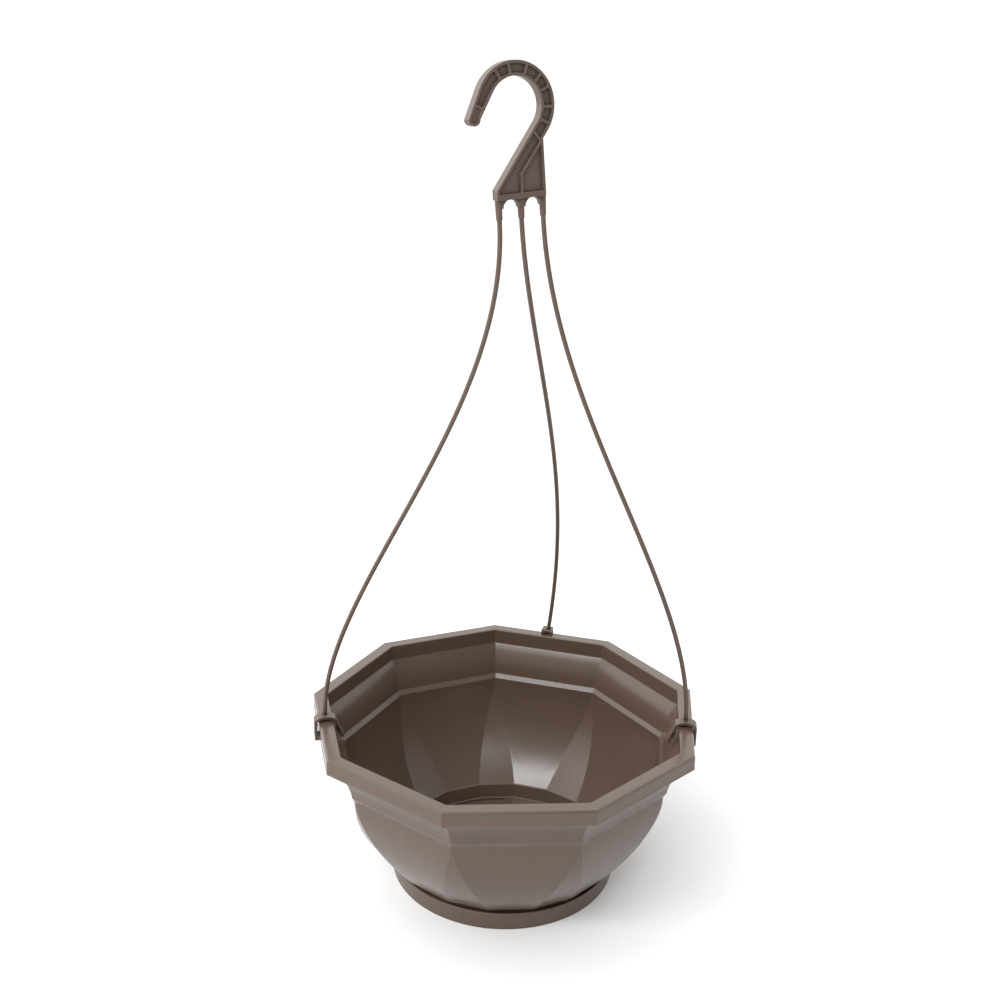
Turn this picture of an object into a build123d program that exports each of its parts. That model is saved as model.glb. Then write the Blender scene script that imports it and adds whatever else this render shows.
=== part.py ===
from build123d import *
import os
from math import acos, atan2, cos, degrees, hypot, radians, sin

# Hanging basket for plants: a nine-sided bowl whose foot stands in a round saucer, carried
# by three springy strands, which end in clips over the bowl's rim and meet in a ribbed hook.
# Millimetres. The origin is the centre of the saucer's underside, +Z is up, towards the hook.

# ---------------------------------------------------------------- driving dimensions
sides = 9
half_side_angle = 180 / sides          # from a side's middle to its corner
first_corner_angle = -66.2             # where one rim corner points, seen from above
rim_corner_radius = 151.0              # a "30 cm" basket, measured over the corners
rim_top = 136.0                        # height of the rim's flat top above the ground
wall = 2.0

# The rim is a channel open below: a flat top with an outer skirt and an inner wall.
rim_half_flat = rim_corner_radius * cos(radians(half_side_angle))   # centre to a side's middle
land_width = 10.5
land_thickness = 2.2
skirt_drop = 10.7
inner_band_drop = 12.4
outer_edge_radius, inner_edge_radius = 1.8, 0.8
lip_proud = 0.3
lip_height = 1.2

# A hollow-curved band leads from the rim down to a ledge on top of the bowl's body.
ledge_top = 98.6
body_top = 95.2
band_depth = 9.0                       # how far the curved band moves in
band_hollow = 1.6                      # how far it bows in from a straight slope
band_wall = 1.5                        # its wall at the lower end
slope_top, slope_bottom = 99.8, 95.8   # a small slope outside leads from the band to the body

# The body: nine main facets, and nine corner facets that widen towards the bottom.
main_top, main_drop, main_power = 121.7, 30.9, 1.94
corner_top, corner_drop, corner_power = 129.4, 38.3, 1.72
least_corner_cut = 0.15                # keeps the corner facets from closing to nothing at the top
body_bottom = 20.9
body_sections = 8

# The foot stands in the saucer, and the well is the space inside the foot.
undercut_bottom = 15.2
well_top = 15.5
foot_bottom = 1.9
foot_main, foot_corner = 84.7, 84.9
foot_taper = 1.6                       # how much narrower the foot is at its lower end
foot_wall = 1.6
floor_thickness = 2.0
drain_slots = 3
drain_side, drain_half_angle = 4, 24.0  # the side one slot is centred on, and half its length
drain_slot_radius, drain_slot_width = 78.4, 4.8

saucer_height = 14.9
saucer_top_radius, saucer_bottom_radius = 88.7, 87.0
saucer_wall, saucer_floor = 1.5, 1.8
saucer_rounding = 0.7

# The hook stands over the bowl, turned about the vertical and leaning a little in its own plane.
hook_turn, hook_lean = 26.0, 5.0
hook_base = (1.4, 0.0, rim_top + 379.8)   # underside of the bar, over the middle leg
hook_thickness, hook_web, flange = 7.5, 1.4, 1.7
loop_centre = (-1.5, 58.4)
loop_radius, opening_radius = 27.9, 18.4
bar_left, bar_right, bar_height = -18.5, 17.5, 3.6
stem_foot_height = 6.4
stem_bend_height = 15.5                # where the stem's middle rib turns upright
neck = (17.1, 36.8)
arm_lean_outer, arm_lean_inner = 26.0, 32.0   # degrees from upright
arm_outer_length, arm_inner_length = 20.5, 19.0
tip_solid_length = 9.0
tip_pad_length, tip_pad_depth = 7.5, 0.8
rib_angles = (120.5, 98.5, 69.0, 44.0, 23.5, -5.0, -28.5, -54.0)

leg_spacing, leg_length = 16.35, 13.0
leg_top_radius, leg_end_radius = 2.5, 2.15
arch_thickness = 4.4
arch_radius = 5.6
socket_depth = 8.0
running_gap = 0.08                     # between a strand and the hole that holds it

strand_radius = 1.7
knob_radius, knob_height, knob_gap = 2.65, 1.2, 0.45

clip_thickness = 2.1
clip_rise = 4.4                        # top of the arch above the rim
clip_half_span = 8.3
outer_leg_drop = 14.4
hook_under_length, hook_under_height = 1.7, 3.2   # inward foot of the outer leg, below the skirt
inner_leg_drop, inner_leg_reach = 13.4, 13.8
barb_tip = (-7.0, -6.4)                # the barb springs back up from the inner leg's lower end
barb_thickness = 1.1
barb_root = 2.2                        # height over which it leaves the leg
short_foot_thickness = 1.5
short_outer_reach = 5.0
short_corner_radius = 1.0
window_width, window_height = 5.0, 2.2

# Each strand: the hook leg it leaves, the rim side it reaches, the clip's place along that side
# and out from the middle of the land, its lean sideways, the clip's extent on both sides of the
# strand, the lengths of the strand curve's end tangents at the hook and at the clip, and whether
# it has the short clip, which stands on the rim, or the saddle, which reaches over it.
strands = {
    "left": {
        "leg": -1, "side": 6, "along": -9.0, "out": 0.4, "lean": 0.0,
        "extent": (-2.8, 5.8), "tangents": (135.8, 100.4), "short": False,
    },
    "back": {
        "leg": 0, "side": 3, "along": 2.8, "out": 2.9, "lean": -6.9,
        "extent": (-3.8, 4.7), "tangents": (98.1, 154.9), "short": True,
    },
    "right": {
        "leg": 1, "side": 1, "along": -6.5, "out": -0.4, "lean": 0.0,
        "extent": (-5.8, 2.8), "tangents": (141.7, 104.3), "short": False,
    },
}

os.makedirs("parts", exist_ok=True)


# ---------------------------------------------------------------- helpers
def side_angle(side):
    """Direction of a side's middle, in degrees. Side 0 starts at the first corner."""
    return first_corner_angle + half_side_angle * (2 * side + 1)


def facet_ring(main, corner):
    """Corners of an 18-sided ring from the two facet distances."""
    turn = radians(half_side_angle)
    half_width = (corner - main * cos(turn)) / sin(turn)
    points = []
    for side in range(sides):
        angle = radians(side_angle(side))
        for along in (-half_width, half_width):
            x = main * cos(angle) - along * sin(angle)
            y = main * sin(angle) + along * cos(angle)
            points.append((x, y))
    return points


def body_ring(height, inset=0.0):
    """The body's cross-section at a height, moved in by inset."""
    depth = (body_top - height) / (body_top - body_bottom)
    main = main_top - main_drop * depth**main_power - inset
    sharp_corner = main / cos(radians(half_side_angle))
    corner = corner_top - corner_drop * depth**corner_power - inset
    return facet_ring(main, min(corner, sharp_corner - least_corner_cut))


def heights(top, bottom, count):
    """Evenly spaced heights from top to bottom."""
    return [top + (bottom - top) * step / (count - 1) for step in range(count)]


def tangent_angle(point, centre, radius, turn):
    """Angle on a circle where the tangent from a point touches it, on the side given by turn."""
    away = (point[0] - centre[0], point[1] - centre[1])
    spread = degrees(acos(radius / hypot(*away)))
    return degrees(atan2(away[1], away[0])) + turn * spread


def on_loop(radius, angle):
    """A point of the hook's loop, in the hook's plane."""
    return Vector(
        loop_centre[0] + radius * cos(radians(angle)), loop_centre[1] + radius * sin(radians(angle))
    )


def downhill(lean):
    """Unit vector that points down and to the left, lean degrees away from straight down."""
    return Vector(-sin(radians(lean)), -cos(radians(lean)))


# ---------------------------------------------------------------- bowl
# One side of the rim, the curved band and the ledge, as a section through a side's middle.
rim_outer = rim_half_flat
rim_inner = rim_half_flat - land_width
skirt_bottom = rim_top - skirt_drop
inner_edge_centre = (rim_inner + inner_edge_radius, rim_top - inner_edge_radius)
outer_edge_centre = (rim_outer - outer_edge_radius, rim_top - outer_edge_radius)
band_top = rim_top - inner_band_drop
band_inner_bottom = rim_inner - band_depth
band_outer_bottom = (band_inner_bottom + band_wall, slope_top)
ledge_inner = main_top - wall

with BuildPart() as rim_side:
    with BuildSketch(Plane.XZ) as rim_section:
        with BuildLine():
            Line((rim_inner, band_top), (rim_inner, rim_top - inner_edge_radius))
            CenterArc(inner_edge_centre, inner_edge_radius, 90, 90)
            Line((inner_edge_centre[0], rim_top), (outer_edge_centre[0], rim_top))
            CenterArc(outer_edge_centre, outer_edge_radius, 0, 90)
            Polyline(
                (rim_outer, rim_top - outer_edge_radius),
                (rim_outer, skirt_bottom + lip_height),
                (rim_outer + lip_proud, skirt_bottom + lip_height - lip_proud),
                (rim_outer + lip_proud, skirt_bottom),
                (rim_outer - wall, skirt_bottom),
                (rim_outer - wall, rim_top - land_thickness),
                (rim_inner + wall, rim_top - land_thickness),
                (rim_inner + wall, band_top - wall),
            )
            SagittaArc((rim_inner + wall, band_top - wall), band_outer_bottom, -band_hollow)
            Polyline(
                band_outer_bottom,
                (main_top, slope_bottom),
                (main_top, body_top),
                (ledge_inner, body_top),
                (band_inner_bottom, ledge_top),
            )
            SagittaArc((band_inner_bottom, ledge_top), (rim_inner, band_top), band_hollow)
        make_face()
    extrude(amount=rim_corner_radius, both=True)
    split(bisect_by=Plane.XZ.rotated((0, 0, half_side_angle)), keep=Keep.TOP)
    split(bisect_by=Plane.XZ.rotated((0, 0, -half_side_angle)), keep=Keep.BOTTOM)

with BuildPart() as bowl:
    for height in heights(body_top, body_bottom, body_sections):
        with BuildSketch(Plane.XY.offset(height)):
            Polygon(*body_ring(height), align=None)
    loft()
    # Undercut from the body's lower edge to the foot, then the foot itself.
    for height, main, corner in (
        (body_bottom, main_top - main_drop, corner_top - corner_drop),
        (undercut_bottom, foot_main, foot_corner),
        (foot_bottom, foot_main - foot_taper, foot_corner - foot_taper),
    ):
        with BuildSketch(Plane.XY.offset(height)):
            Polygon(*facet_ring(main, corner), align=None)
    loft(ruled=True)
    # The planting space: body, then the well down to the floor.
    for height in heights(body_top, well_top, body_sections):
        with BuildSketch(Plane.XY.offset(height)):
            Polygon(*body_ring(height, wall), align=None)
    loft(mode=Mode.SUBTRACT)
    floor_top = foot_bottom + floor_thickness
    for height, inset in ((well_top, foot_wall), (floor_top, foot_wall + foot_taper)):
        with BuildSketch(Plane.XY.offset(height)):
            Polygon(*facet_ring(foot_main - inset, foot_corner - inset), align=None)
    loft(ruled=True, mode=Mode.SUBTRACT)
    with PolarLocations(0, sides, start_angle=side_angle(0)):
        add(rim_side.part)
    # Drain slots along the edge of the floor.
    slot_middle = side_angle(drain_side)
    with BuildSketch(Plane.XY):
        for slot in range(drain_slots):
            slot_start = slot_middle + slot * 360 / drain_slots - drain_half_angle
            SlotArc(
                CenterArc((0, 0), drain_slot_radius, slot_start, 2 * drain_half_angle), drain_slot_width
            )
    extrude(amount=well_top, mode=Mode.SUBTRACT)
bowl.part.label = "bowl"
export_step(bowl.part, "parts/bowl.step")


# ---------------------------------------------------------------- saucer
with BuildPart() as saucer:
    with BuildSketch(Plane.XZ):
        with BuildLine():
            Polyline(
                (0, 0),
                (saucer_bottom_radius, 0),
                (saucer_top_radius, saucer_height),
                (saucer_top_radius - saucer_wall, saucer_height),
                (saucer_bottom_radius - saucer_wall, saucer_floor),
                (0, saucer_floor),
                close=True,
            )
        make_face()
    revolve(axis=Axis.Z)
    fillet(saucer.edges().group_by(Axis.Z)[-1], saucer_rounding)
    fillet(saucer.edges().group_by(Axis.Z)[0], saucer_rounding)
saucer.part.label = "saucer"
export_step(saucer.part, "parts/saucer.step")


# ---------------------------------------------------------------- hook
turn = radians(hook_turn)
lean = radians(hook_lean)
hook_plane = Plane(
    origin=hook_base,
    x_dir=(cos(turn) * cos(lean), sin(turn) * cos(lean), sin(lean)),
    z_dir=(sin(turn), -cos(turn), 0),
)

stem_foot = (bar_left, stem_foot_height)
outer_right = on_loop(loop_radius, tangent_angle(neck, loop_centre, loop_radius, 1))
inner_right = on_loop(opening_radius, tangent_angle(stem_foot, loop_centre, opening_radius, 1))
outer_left = on_loop(loop_radius, 180 - arm_lean_outer)
inner_left = on_loop(opening_radius, 180 - arm_lean_inner)
tip_outer = outer_left + downhill(arm_lean_outer) * arm_outer_length
tip_inner = inner_left + downhill(arm_lean_inner) * arm_inner_length
tip_radius = (tip_outer - tip_inner).length / 2
tip_end = (tip_outer + tip_inner) / 2 + downhill(arm_lean_outer) * tip_radius


def hook_outline():
    """The hook's outline, from the base bar round the loop to the rounded tip and back."""
    top = on_loop(loop_radius, 90)
    inner_top = on_loop(opening_radius, 90)
    Polyline((bar_left, 0), (bar_right, 0), (bar_right, bar_height), neck, outer_right)
    ThreePointArc(outer_right, top, outer_left)
    Line(outer_left, tip_outer)
    ThreePointArc(tip_outer, tip_end, tip_inner)
    Line(tip_inner, inner_left)
    ThreePointArc(inner_left, inner_top, inner_right)
    Polyline(inner_right, stem_foot, (bar_left, 0))


def rib(start, end):
    """A straight rib in the recess, as a sketch rectangle along a line."""
    middle = (start + end) / 2
    along = end - start
    tilt = degrees(atan2(along.Y, along.X))
    with Locations(Location((middle.X, middle.Y, 0), (0, 0, tilt))):
        Rectangle(along.length + flange, flange, mode=Mode.SUBTRACT)


with BuildPart() as hook:
    with BuildSketch(hook_plane):
        with BuildLine():
            hook_outline()
        make_face()
    extrude(amount=hook_thickness / 2, both=True)
    # Recesses on both faces leave a thin web, an edge flange and the ribs.
    with BuildSketch(hook_plane) as recess:
        with BuildLine():
            hook_outline()
        make_face()
        offset(amount=-flange, mode=Mode.REPLACE)
        for angle in rib_angles:
            rib(on_loop(opening_radius, angle), on_loop(loop_radius, angle))
        # The stem's middle rib follows its slope and then drops to the bar.
        stem_bend = Vector(0, stem_bend_height)
        rib(Vector(0, 0), stem_bend)
        rib(stem_bend, Vector(*neck))
        with Locations(((bar_left + bar_right) / 2, bar_height / 2)):
            Rectangle(bar_right - bar_left, bar_height, mode=Mode.SUBTRACT)
        with Locations((tip_end.X, tip_end.Y)):
            Circle(tip_radius + tip_solid_length, mode=Mode.SUBTRACT)
    # The solid tip has a shallow pad on both faces.
    with BuildSketch(hook_plane) as pad:
        with BuildLine():
            hook_outline()
        make_face()
        offset(amount=-flange, mode=Mode.REPLACE)
        with Locations((tip_end.X, tip_end.Y)):
            Circle(tip_radius + tip_pad_length, mode=Mode.INTERSECT)
    for hollow, thickness in ((recess, hook_web), (pad, hook_thickness - 2 * tip_pad_depth)):
        extrude(hollow.sketch, amount=hook_thickness, both=True, mode=Mode.SUBTRACT)
        add(extrude(hollow.sketch, amount=thickness / 2, both=True, mode=Mode.PRIVATE))
    # Two arches under the bar join the three legs, and each leg is a tapered socket for a strand.
    with BuildSketch(hook_plane):
        with Locations((0, -arch_radius / 2)):
            Rectangle(2 * leg_spacing, arch_radius)
        with Locations((-leg_spacing / 2, -arch_radius), (leg_spacing / 2, -arch_radius)):
            Circle(arch_radius, mode=Mode.SUBTRACT)
    extrude(amount=arch_thickness / 2, both=True)
    for leg in (-1, 0, 1):
        leg_top = Plane(
            origin=hook_plane.from_local_coords((leg * leg_spacing, 0, 0)),
            z_dir=hook_plane.y_dir * -1,
        )
        with BuildSketch(leg_top):
            Circle(leg_top_radius)
        with BuildSketch(leg_top.offset(leg_length)):
            Circle(leg_end_radius)
        loft()
        with BuildSketch(leg_top.offset(leg_length)):
            Circle(strand_radius + running_gap)
        extrude(amount=-socket_depth, mode=Mode.SUBTRACT)
hook.part.label = "hook"
export_step(hook.part, "parts/hook.step")


# ---------------------------------------------------------------- strands and clips
land_middle = rim_half_flat - land_width / 2


def clip_frame(side, along, out):
    """Plane through a clip: x points out over the rim, y up, origin on the rim under the strand."""
    angle = radians(side_angle(side))
    outward = Vector(cos(angle), sin(angle), 0)
    sideways = Vector(-sin(angle), cos(angle), 0)
    place = outward * (land_middle + out) + sideways * along + Vector(0, 0, rim_top)
    return Plane(origin=place, x_dir=outward, z_dir=sideways * -1)


def strand_end(frame, lean):
    """Plane square to the strand where it passes through the top of its clip."""
    sideways = frame.z_dir * -1
    up = Vector(0, 0, cos(radians(lean))) + sideways * sin(radians(lean))
    return Plane(origin=frame.origin + up * clip_rise, x_dir=frame.x_dir, z_dir=up)


def outer_leg(outside):
    """The outer leg from the arch's inside down round its hooked foot and up its outside."""
    inside = outside - clip_thickness
    under = inside - hook_under_length
    Polyline(
        (inside, 0),
        (inside, -outer_leg_drop + hook_under_height),
        (under, -outer_leg_drop + hook_under_height),
        (under, -outer_leg_drop),
        (outside, -outer_leg_drop),
        (outside, 0),
    )


def saddle_outline():
    """Saddle over the whole rim: hooked outer leg, arch, and an inner leg that slants away."""
    inner_half_span = clip_half_span - clip_thickness
    inner_rise = clip_rise - clip_thickness
    slant = (inner_leg_reach - clip_half_span) / inner_leg_drop
    leg_inside = inner_half_span + slant * inner_leg_drop
    EllipticalCenterArc((0, 0), clip_half_span, clip_rise, start_angle=0, arc_size=180)
    Polyline(
        (-clip_half_span, 0),
        (-inner_leg_reach, -inner_leg_drop),
        (-leg_inside, -inner_leg_drop),
        barb_tip,
        (barb_tip[0] - barb_thickness, barb_tip[1]),
        (-leg_inside, -inner_leg_drop + barb_root),
        (-inner_half_span, 0),
    )
    EllipticalCenterArc((0, 0), inner_half_span, inner_rise, start_angle=180, arc_size=-180)
    outer_leg(clip_half_span)


def short_outline():
    """Short clip: hooked outer leg, flat top, and a foot that stands on the rim's flat top."""
    foot_inside = -(knob_radius + running_gap)
    foot_outside = foot_inside - short_foot_thickness
    inner_rise = clip_rise - clip_thickness
    straight_rise = clip_rise - short_corner_radius
    right_corner = (short_outer_reach - short_corner_radius, straight_rise)
    left_corner = (foot_outside + short_corner_radius, straight_rise)
    Polyline((short_outer_reach, 0), (short_outer_reach, straight_rise))
    CenterArc(right_corner, short_corner_radius, 0, 90)
    Line((right_corner[0], clip_rise), (left_corner[0], clip_rise))
    CenterArc(left_corner, short_corner_radius, 90, 90)
    Polyline(
        (foot_outside, straight_rise),
        (foot_outside, running_gap),
        (foot_inside, running_gap),
        (foot_inside, inner_rise),
        (short_outer_reach - clip_thickness, inner_rise),
        (short_outer_reach - clip_thickness, 0),
    )
    outer_leg(short_outer_reach)


for name, place in strands.items():
    frame = clip_frame(place["side"], place["along"], place["out"])
    end = strand_end(frame, place["lean"])
    low_end, high_end = place["extent"]

    with BuildPart() as clip:
        with BuildSketch(frame.offset(-high_end)):
            with BuildLine():
                if place["short"]:
                    short_outline()
                else:
                    saddle_outline()
            make_face()
        extrude(amount=high_end - low_end)
        with BuildSketch(end):
            Circle(strand_radius + running_gap)
        extrude(amount=clip_rise, both=True, mode=Mode.SUBTRACT)
        if place["short"]:
            # A window in the foot, open below, in front of the knob.
            with BuildSketch(frame):
                with Locations((-knob_radius, window_height / 2)):
                    Rectangle(2 * short_foot_thickness + knob_radius, window_height)
            extrude(amount=window_width / 2, both=True, mode=Mode.SUBTRACT)
    clip.part.label = "clip_" + name
    export_step(clip.part, "parts/clip_" + name + ".step")

    # The strand runs down inside the leg's socket, curves out, and comes down into the clip.
    down = hook_plane.y_dir * -1
    leg_end = hook_plane.from_local_coords((place["leg"] * leg_spacing, -leg_length, 0))
    socket_start = leg_end - down * (socket_depth - running_gap)
    knob_top = end.origin - end.z_dir * (clip_thickness + knob_gap)
    with BuildPart() as strand:
        with BuildLine() as path:
            Line(socket_start, leg_end)
            Bezier(
                leg_end,
                leg_end + down * place["tangents"][0],
                end.origin + end.z_dir * place["tangents"][1],
                end.origin,
            )
            Line(end.origin, knob_top)
        with BuildSketch(Plane(origin=socket_start, z_dir=down)):
            Circle(strand_radius)
        sweep()
        with BuildSketch(Plane(origin=knob_top, z_dir=end.z_dir)):
            Circle(knob_radius)
        extrude(amount=-knob_height)
    strand.part.label = "strand_" + name
    export_step(strand.part, "parts/strand_" + name + ".step")
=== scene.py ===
from math import cos, pi, radians, sin

import bmesh
import bpy
import numpy as np
from mathutils import Matrix, Quaternion, Vector


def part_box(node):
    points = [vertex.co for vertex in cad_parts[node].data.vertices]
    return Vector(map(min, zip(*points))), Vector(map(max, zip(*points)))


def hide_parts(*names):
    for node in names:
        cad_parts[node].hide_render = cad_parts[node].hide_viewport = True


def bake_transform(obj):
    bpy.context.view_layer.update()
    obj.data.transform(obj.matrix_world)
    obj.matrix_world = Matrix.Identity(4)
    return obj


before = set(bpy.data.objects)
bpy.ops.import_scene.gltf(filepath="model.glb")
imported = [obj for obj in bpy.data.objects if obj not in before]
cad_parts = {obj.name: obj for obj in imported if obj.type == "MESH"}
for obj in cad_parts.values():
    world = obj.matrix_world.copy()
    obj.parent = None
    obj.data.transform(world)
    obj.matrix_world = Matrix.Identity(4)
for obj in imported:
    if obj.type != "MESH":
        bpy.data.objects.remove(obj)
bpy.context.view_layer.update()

# Hanging basket on a white studio floor. The bowl, saucer, hook and clips are the CAD parts with
# moulded-plastic materials. The three strands are rebuilt here, each as two tubes.
# Metres, in the CAD's frame: origin under the saucer, +Z up, the camera looks along +Y.

mm = 0.001
strand_names = ("left", "back", "right")

# Places in the frame, and the strands' sizes as in the CAD.
rim_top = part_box("bowl")[1].z
strand_radius = 1.7 * mm
knob_radius, knob_height = 2.65 * mm, 1.2 * mm
bend_split = rim_top + 100 * mm        # below this a strand is its lower tube, above it its upper tube


# ---------------------------------------------------------------- materials
class Shader:
    """A material's node tree with short calls for adding and joining nodes."""

    def __init__(self, name):
        self.material = bpy.data.materials.new(name)
        self.material.use_nodes = True
        self.tree = self.material.node_tree
        self.tree.nodes.clear()

    def node(self, kind, inputs=None, **settings):
        """Adds a node, sets its properties, and sets or joins its inputs by name or number."""
        made = self.tree.nodes.new(kind)
        for key, value in settings.items():
            setattr(made, key, value)
        for key, value in (inputs or {}).items():
            if isinstance(value, bpy.types.NodeSocket):
                self.tree.links.new(value, made.inputs[key])
            else:
                made.inputs[key].default_value = value
        return made

    def noise(self, where, scale, detail):
        """Noise between 0 and 1; scale is in features per metre."""
        inputs = {"Vector": where, "Scale": scale, "Detail": detail}
        return self.node("ShaderNodeTexNoise", inputs).outputs["Fac"]

    def remap(self, value, low, high, to_low, to_high):
        """Maps low..high to to_low..to_high and holds the ends."""
        inputs = {0: value, 1: low, 2: high, 3: to_low, 4: to_high}
        return self.node("ShaderNodeMapRange", inputs).outputs[0]

    def product(self, first, second):
        return self.node("ShaderNodeMath", {0: first, 1: second}, operation="MULTIPLY").outputs[0]

    def blend_colours(self, share, first, second, mode="MIX"):
        inputs = {0: share, 6: first, 7: second}
        made = self.node("ShaderNodeMix", inputs, data_type="RGBA", blend_type=mode)
        return made.outputs[2]


def moulded_plastic(name, colour, roughness, gloss=0.5, edge_highlight=0.5, bevel=0.45 * mm, hollow_shade=0.0):
    """Satin injection-moulded plastic with fine grain and rounded edges, a painted highlight on edges and
    painted shade in recesses.

    edge_highlight is how far edges go towards a paler colour, as a painted highlight, hollow_shade how far
    hollows go towards a darker one, as painted shade.
    """
    shader = Shader(name)
    place = shader.node("ShaderNodeTexCoord").outputs["Object"]

    # Colour: slow drift of the pigment, fine specks, and pale edges that are a painted highlight.
    drift = shader.noise(place, 14.0, 4.0)
    specks = shader.noise(place, 1400.0, 2.0)
    shade = shader.remap(drift, 0.3, 0.7, 0.96, 1.04)
    speck_shade = shader.remap(specks, 0.3, 0.7, 0.975, 1.025)
    level = shader.product(shade, speck_shade)
    tint = shader.node("ShaderNodeCombineColor", {0: level, 1: level, 2: level}).outputs[0]
    base = shader.blend_colours(1.0, (*colour, 1.0), tint, "MULTIPLY")
    # Painted shade: hollows that ambient occlusion finds go towards a darker copy of the colour.
    if hollow_shade:
        hollow_width = 9.0 * mm
        openness = shader.node("ShaderNodeAmbientOcclusion", {"Distance": hollow_width}, samples=8)
        depth = shader.remap(openness.outputs["AO"], 0.5, 1.0, hollow_shade, 0.0)
        shaded = [0.2 * channel for channel in colour]
        base = shader.blend_colours(depth, base, (*shaded, 1.0))

    rounded = shader.node("ShaderNodeBevel", {"Radius": bevel}, samples=4).outputs["Normal"]
    flat = shader.node("ShaderNodeNewGeometry").outputs["Normal"]
    # Painted highlight: where the rounded bevel normal leaves the flat normal, at edges, the colour goes
    # paler.
    agreement = shader.node("ShaderNodeVectorMath", {0: rounded, 1: flat}, operation="DOT_PRODUCT")
    edge = shader.remap(agreement.outputs["Value"], 0.97, 0.80, 0.0, 1.0)
    highlight_colour = [1.8 * channel + 0.06 for channel in colour]
    coloured = shader.blend_colours(shader.product(edge, edge_highlight), base, (*highlight_colour, 1.0))

    # Roughness: satin with smoother and duller patches.
    patches = shader.noise(place, 38.0, 2.0)
    rough = shader.remap(patches, 0.2, 0.8, roughness - 0.03, roughness + 0.03)

    # Relief: orange peel, a spark-eroded grain, and slow waves from shrinkage.
    grain = shader.noise(place, 2600.0, 2.0)
    peel = shader.noise(place, 420.0, 2.0)
    waves = shader.noise(place, 30.0, 1.0)
    relief = rounded
    for height, depth in ((waves, 0.10 * mm), (peel, 0.012 * mm), (grain, 0.004 * mm)):
        inputs = {"Strength": 1.0, "Distance": depth, "Height": height, "Normal": relief}
        relief = shader.node("ShaderNodeBump", inputs).outputs["Normal"]

    inputs = {"Base Color": coloured, "Roughness": rough, "Normal": relief}
    inputs.update({"IOR": 1.49, "Specular IOR Level": gloss})
    surface = shader.node("ShaderNodeBsdfPrincipled", inputs)
    shader.node("ShaderNodeOutputMaterial", {"Surface": surface.outputs[0]})
    return shader.material


def paint(piece, material):
    """Gives a piece one material on every slot."""
    piece.data.materials.clear()
    piece.data.materials.append(material)


# ---------------------------------------------------------------- strands
def centreline(node, heights):
    """Middles of a CAD rod's cross-sections at the given heights."""
    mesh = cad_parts[node].data
    places = np.array([vertex.co for vertex in mesh.vertices])
    ends = places[np.array([edge.vertices for edge in mesh.edges])]
    first, second = ends[:, 0], ends[:, 1]
    middles = []
    for height in heights:
        crossing = (first[:, 2] - height) * (second[:, 2] - height) < 0
        start, end = first[crossing], second[crossing]
        share = (height - start[:, 2]) / (end[:, 2] - start[:, 2])
        cuts = start + (end - start) * share[:, None]
        middles.append(Vector((cuts.min(axis=0) + cuts.max(axis=0)) / 2))
    return middles


def tube(name, points, radii):
    """A closed tube through points, with two faint mould parting ridges along it."""
    around = 24
    ridge = 0.06 * mm
    shape = bmesh.new()
    rings = []
    across = Vector((0, 1, 0))
    for index, (point, radius) in enumerate(zip(points, radii)):
        before = points[max(index - 1, 0)]
        after = points[min(index + 1, len(points) - 1)]
        along = (after - before).normalized()
        across = (across - along * across.dot(along)).normalized()
        third = along.cross(across)
        ring = []
        for step in range(around):
            angle = 2 * pi * step / around
            reach = radius + (ridge if step % (around // 2) == 0 else 0.0)
            ring.append(shape.verts.new(point + (across * cos(angle) + third * sin(angle)) * reach))
        rings.append(ring)
    for lower, upper in zip(rings, rings[1:]):
        for step in range(around):
            following = (step + 1) % around
            shape.faces.new((lower[step], lower[following], upper[following], upper[step]))
    ends = (shape.faces.new(list(reversed(rings[0]))), shape.faces.new(rings[-1]))
    for face in shape.faces:
        face.smooth = True
    for face in ends:
        for edge in face.edges:
            edge.smooth = False
    bmesh.ops.recalc_face_normals(shape, faces=shape.faces)
    mesh = bpy.data.meshes.new(name)
    shape.to_mesh(mesh)
    shape.free()
    piece = bpy.data.objects.new(name, mesh)
    bpy.context.scene.collection.objects.link(piece)
    return piece


def spaced(start, end, count):
    return [start + (end - start) * step / (count - 1) for step in range(count)]


def strand(side, material):
    """One strand as two tubes: the lower from its knob under the clip, the upper up to the hook."""
    node = "strand_" + side
    low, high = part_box(node)
    rod_start = low.z + knob_height + 0.8 * mm     # just above the knob
    rod_end = high.z - 0.4 * mm                    # just below the cut end inside the hook's socket
    lower_points = centreline(node, spaced(rod_start, bend_split, 30))
    upper_points = centreline(node, spaced(bend_split, rod_end, 70))

    # The knob holds the strand under the clip. Its rounded profile: share of the height, of the radius.
    knob_profile = ((0.0, 0.72), (0.12, 0.9), (0.35, 1.0), (0.8, 1.0), (0.95, 0.93), (1.0, 0.84))
    down = (lower_points[0] - lower_points[1]).normalized()
    to_bottom = (low.z - rod_start) / down.z
    knob_points = []
    knob_radii = []
    for height_share, radius_share in knob_profile:
        knob_points.append(lower_points[0] + down * (to_bottom - height_share * knob_height))
        knob_radii.append(radius_share * knob_radius)

    rod_points = [knob_points[-1], *lower_points]
    lower = tube(node + "_lower", knob_points + rod_points, knob_radii + [strand_radius] * len(rod_points))
    upper = tube(node + "_upper", upper_points, [strand_radius] * len(upper_points))

    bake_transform(lower)
    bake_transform(upper)
    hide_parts(node)
    for piece in (lower, upper):
        paint(piece, material)


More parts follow.
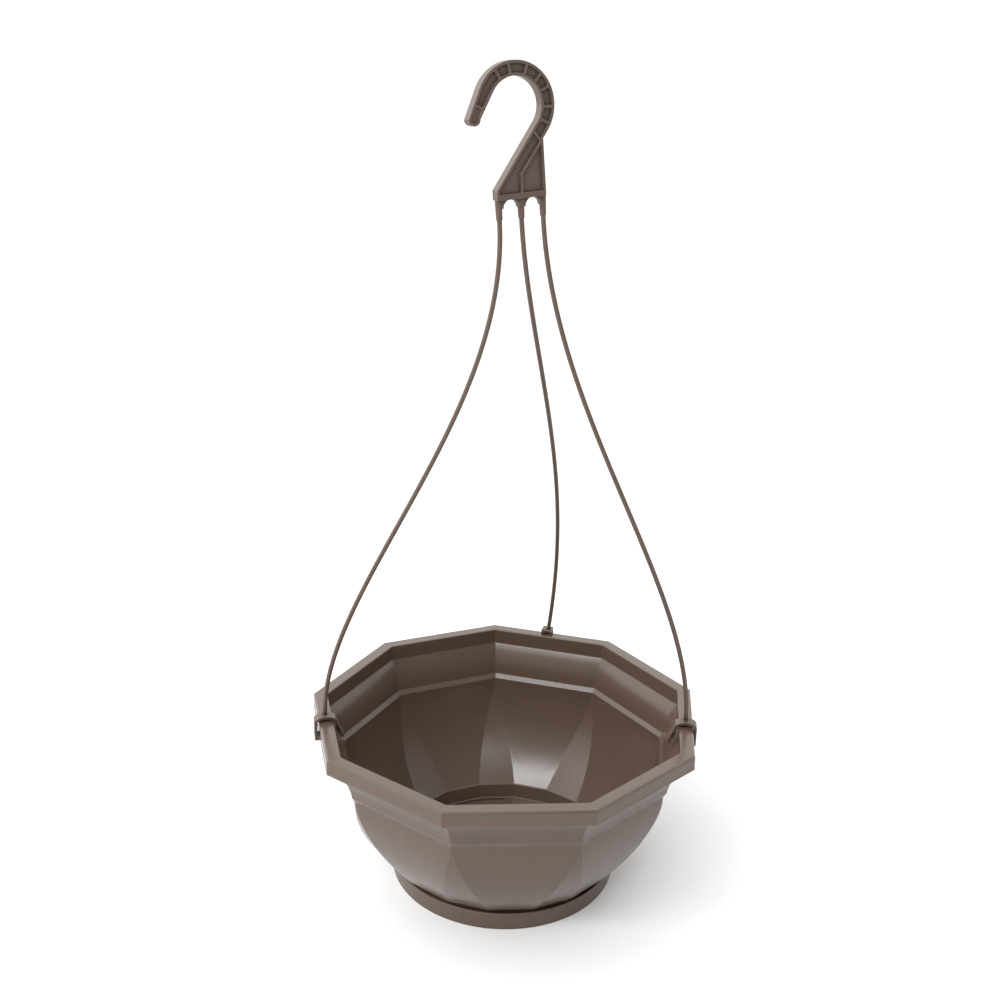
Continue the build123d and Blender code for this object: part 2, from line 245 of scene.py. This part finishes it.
# ---------------------------------------------------------------- stage
def studio_floor():
    """A wide pale floor that fades into the white background."""
    half = 40.0
    mesh = bpy.data.meshes.new("studio_floor")
    corners = [(-half, -half, 0), (half, -half, 0), (half, half, 0), (-half, half, 0)]
    mesh.from_pydata(corners, [], [(0, 1, 2, 3)])
    floor = bpy.data.objects.new("studio_floor", mesh)
    bpy.context.scene.collection.objects.link(floor)
    shader = Shader("studio_floor")
    place = shader.node("ShaderNodeTexCoord").outputs["Object"]
    tone = shader.remap(shader.noise(place, 3.0, 2.0), 0.3, 0.7, 0.79, 0.81)
    colour = shader.node("ShaderNodeCombineColor", {0: tone, 1: tone, 2: tone}).outputs[0]
    surface = shader.node("ShaderNodeBsdfPrincipled", {"Base Color": colour, "Roughness": 0.7})
    shader.node("ShaderNodeOutputMaterial", {"Surface": surface.outputs[0]})
    paint(floor, shader.material)


def softbox():
    """A long softbox at the front left, above the rim, rolled a little about its own axis."""
    light = bpy.data.lights.new("softbox", "AREA")
    light.shape = "RECTANGLE"
    light.size = 1.9
    light.size_y = 0.3
    light.energy = 33.0
    distance = 2.0
    azimuth, elevation, roll = radians(32), radians(43), radians(8)
    towards = Vector((-sin(azimuth) * cos(elevation), -cos(azimuth) * cos(elevation), sin(elevation)))
    facing = towards.to_track_quat("Z", "Y") @ Quaternion((0, 0, 1), roll)
    lamp = bpy.data.objects.new("softbox", light)
    lamp.location = Vector((0, 0, rim_top)) + towards * distance
    lamp.rotation_euler = facing.to_euler()
    bpy.context.scene.collection.objects.link(lamp)


def surroundings():
    """White surroundings: bright behind the object and on its left, dim in front."""
    world = bpy.data.worlds.new("studio")
    world.use_nodes = True
    tree = world.node_tree
    direction = tree.nodes.new("ShaderNodeTexCoord").outputs["Generated"]
    split = tree.nodes.new("ShaderNodeSeparateXYZ")
    tree.links.new(direction, split.inputs[0])
    # Brightness rises smoothly along an axis: where it starts and ends, and its two levels.
    walls = (("Y", -0.8, 0.3, 0.22, 1.6), ("X", 0.0, -0.9, 0.0, 1.0))
    total = tree.nodes.new("ShaderNodeMath")
    for number, (axis, start, end, dim, bright) in enumerate(walls):
        wall = tree.nodes.new("ShaderNodeMapRange")
        wall.interpolation_type = "SMOOTHSTEP"
        wall.inputs["From Min"].default_value = start
        wall.inputs["From Max"].default_value = end
        wall.inputs["To Min"].default_value = dim
        wall.inputs["To Max"].default_value = bright
        tree.links.new(split.outputs[axis], wall.inputs["Value"])
        tree.links.new(wall.outputs[0], total.inputs[number])

    # The camera itself sees plain white.
    seen = tree.nodes.new("ShaderNodeMix")
    seen.inputs["B"].default_value = 1.1
    tree.links.new(tree.nodes.new("ShaderNodeLightPath").outputs["Is Camera Ray"], seen.inputs["Factor"])
    tree.links.new(total.outputs[0], seen.inputs["A"])
    background = tree.nodes["Background"]
    background.inputs["Color"].default_value = (1.0, 1.0, 1.0, 1.0)
    tree.links.new(seen.outputs[0], background.inputs["Strength"])
    bpy.context.scene.world = world


def camera():
    """The photograph's viewpoint: in front, above the rim, looking down a little."""
    data = bpy.data.cameras.new("camera")
    data.sensor_width = 36.0
    data.lens = 42.94
    eye = bpy.data.objects.new("camera", data)
    place = (-0.0079, -0.8148, 0.5806)
    pitch_down, roll = radians(18.78), radians(1.22)
    forward = Vector((0, cos(pitch_down), -sin(pitch_down)))
    upright = Vector((0, sin(pitch_down), cos(pitch_down)))
    right = Vector((1, 0, 0)) * cos(roll) + upright * sin(roll)
    up = upright * cos(roll) - Vector((1, 0, 0)) * sin(roll)
    turn = Matrix((right, up, -forward)).transposed()
    eye.matrix_world = Matrix.Translation(place) @ turn.to_4x4()
    bpy.context.scene.collection.objects.link(eye)
    bpy.context.scene.camera = eye


# ---------------------------------------------------------------- the scene
taupe = (0.088, 0.058, 0.043)
bowl_plastic = moulded_plastic("bowl_plastic", taupe, 0.235, edge_highlight=0.9, bevel=0.8 * mm)
saucer_plastic = moulded_plastic("saucer_plastic", taupe, 0.42)
hanger_plastic = moulded_plastic(
    "hanger_plastic", taupe, 0.42, gloss=0.4, edge_highlight=0.9, bevel=0.7 * mm, hollow_shade=1.0
)

paint(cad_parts["bowl"], bowl_plastic)
paint(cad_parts["saucer"], saucer_plastic)
paint(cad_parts["hook"], hanger_plastic)
for side in strand_names:
    paint(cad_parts["clip_" + side], hanger_plastic)
    strand(side, hanger_plastic)

studio_floor()
softbox()
surroundings()
camera()
bpy.context.scene.view_settings.view_transform = "Standard"
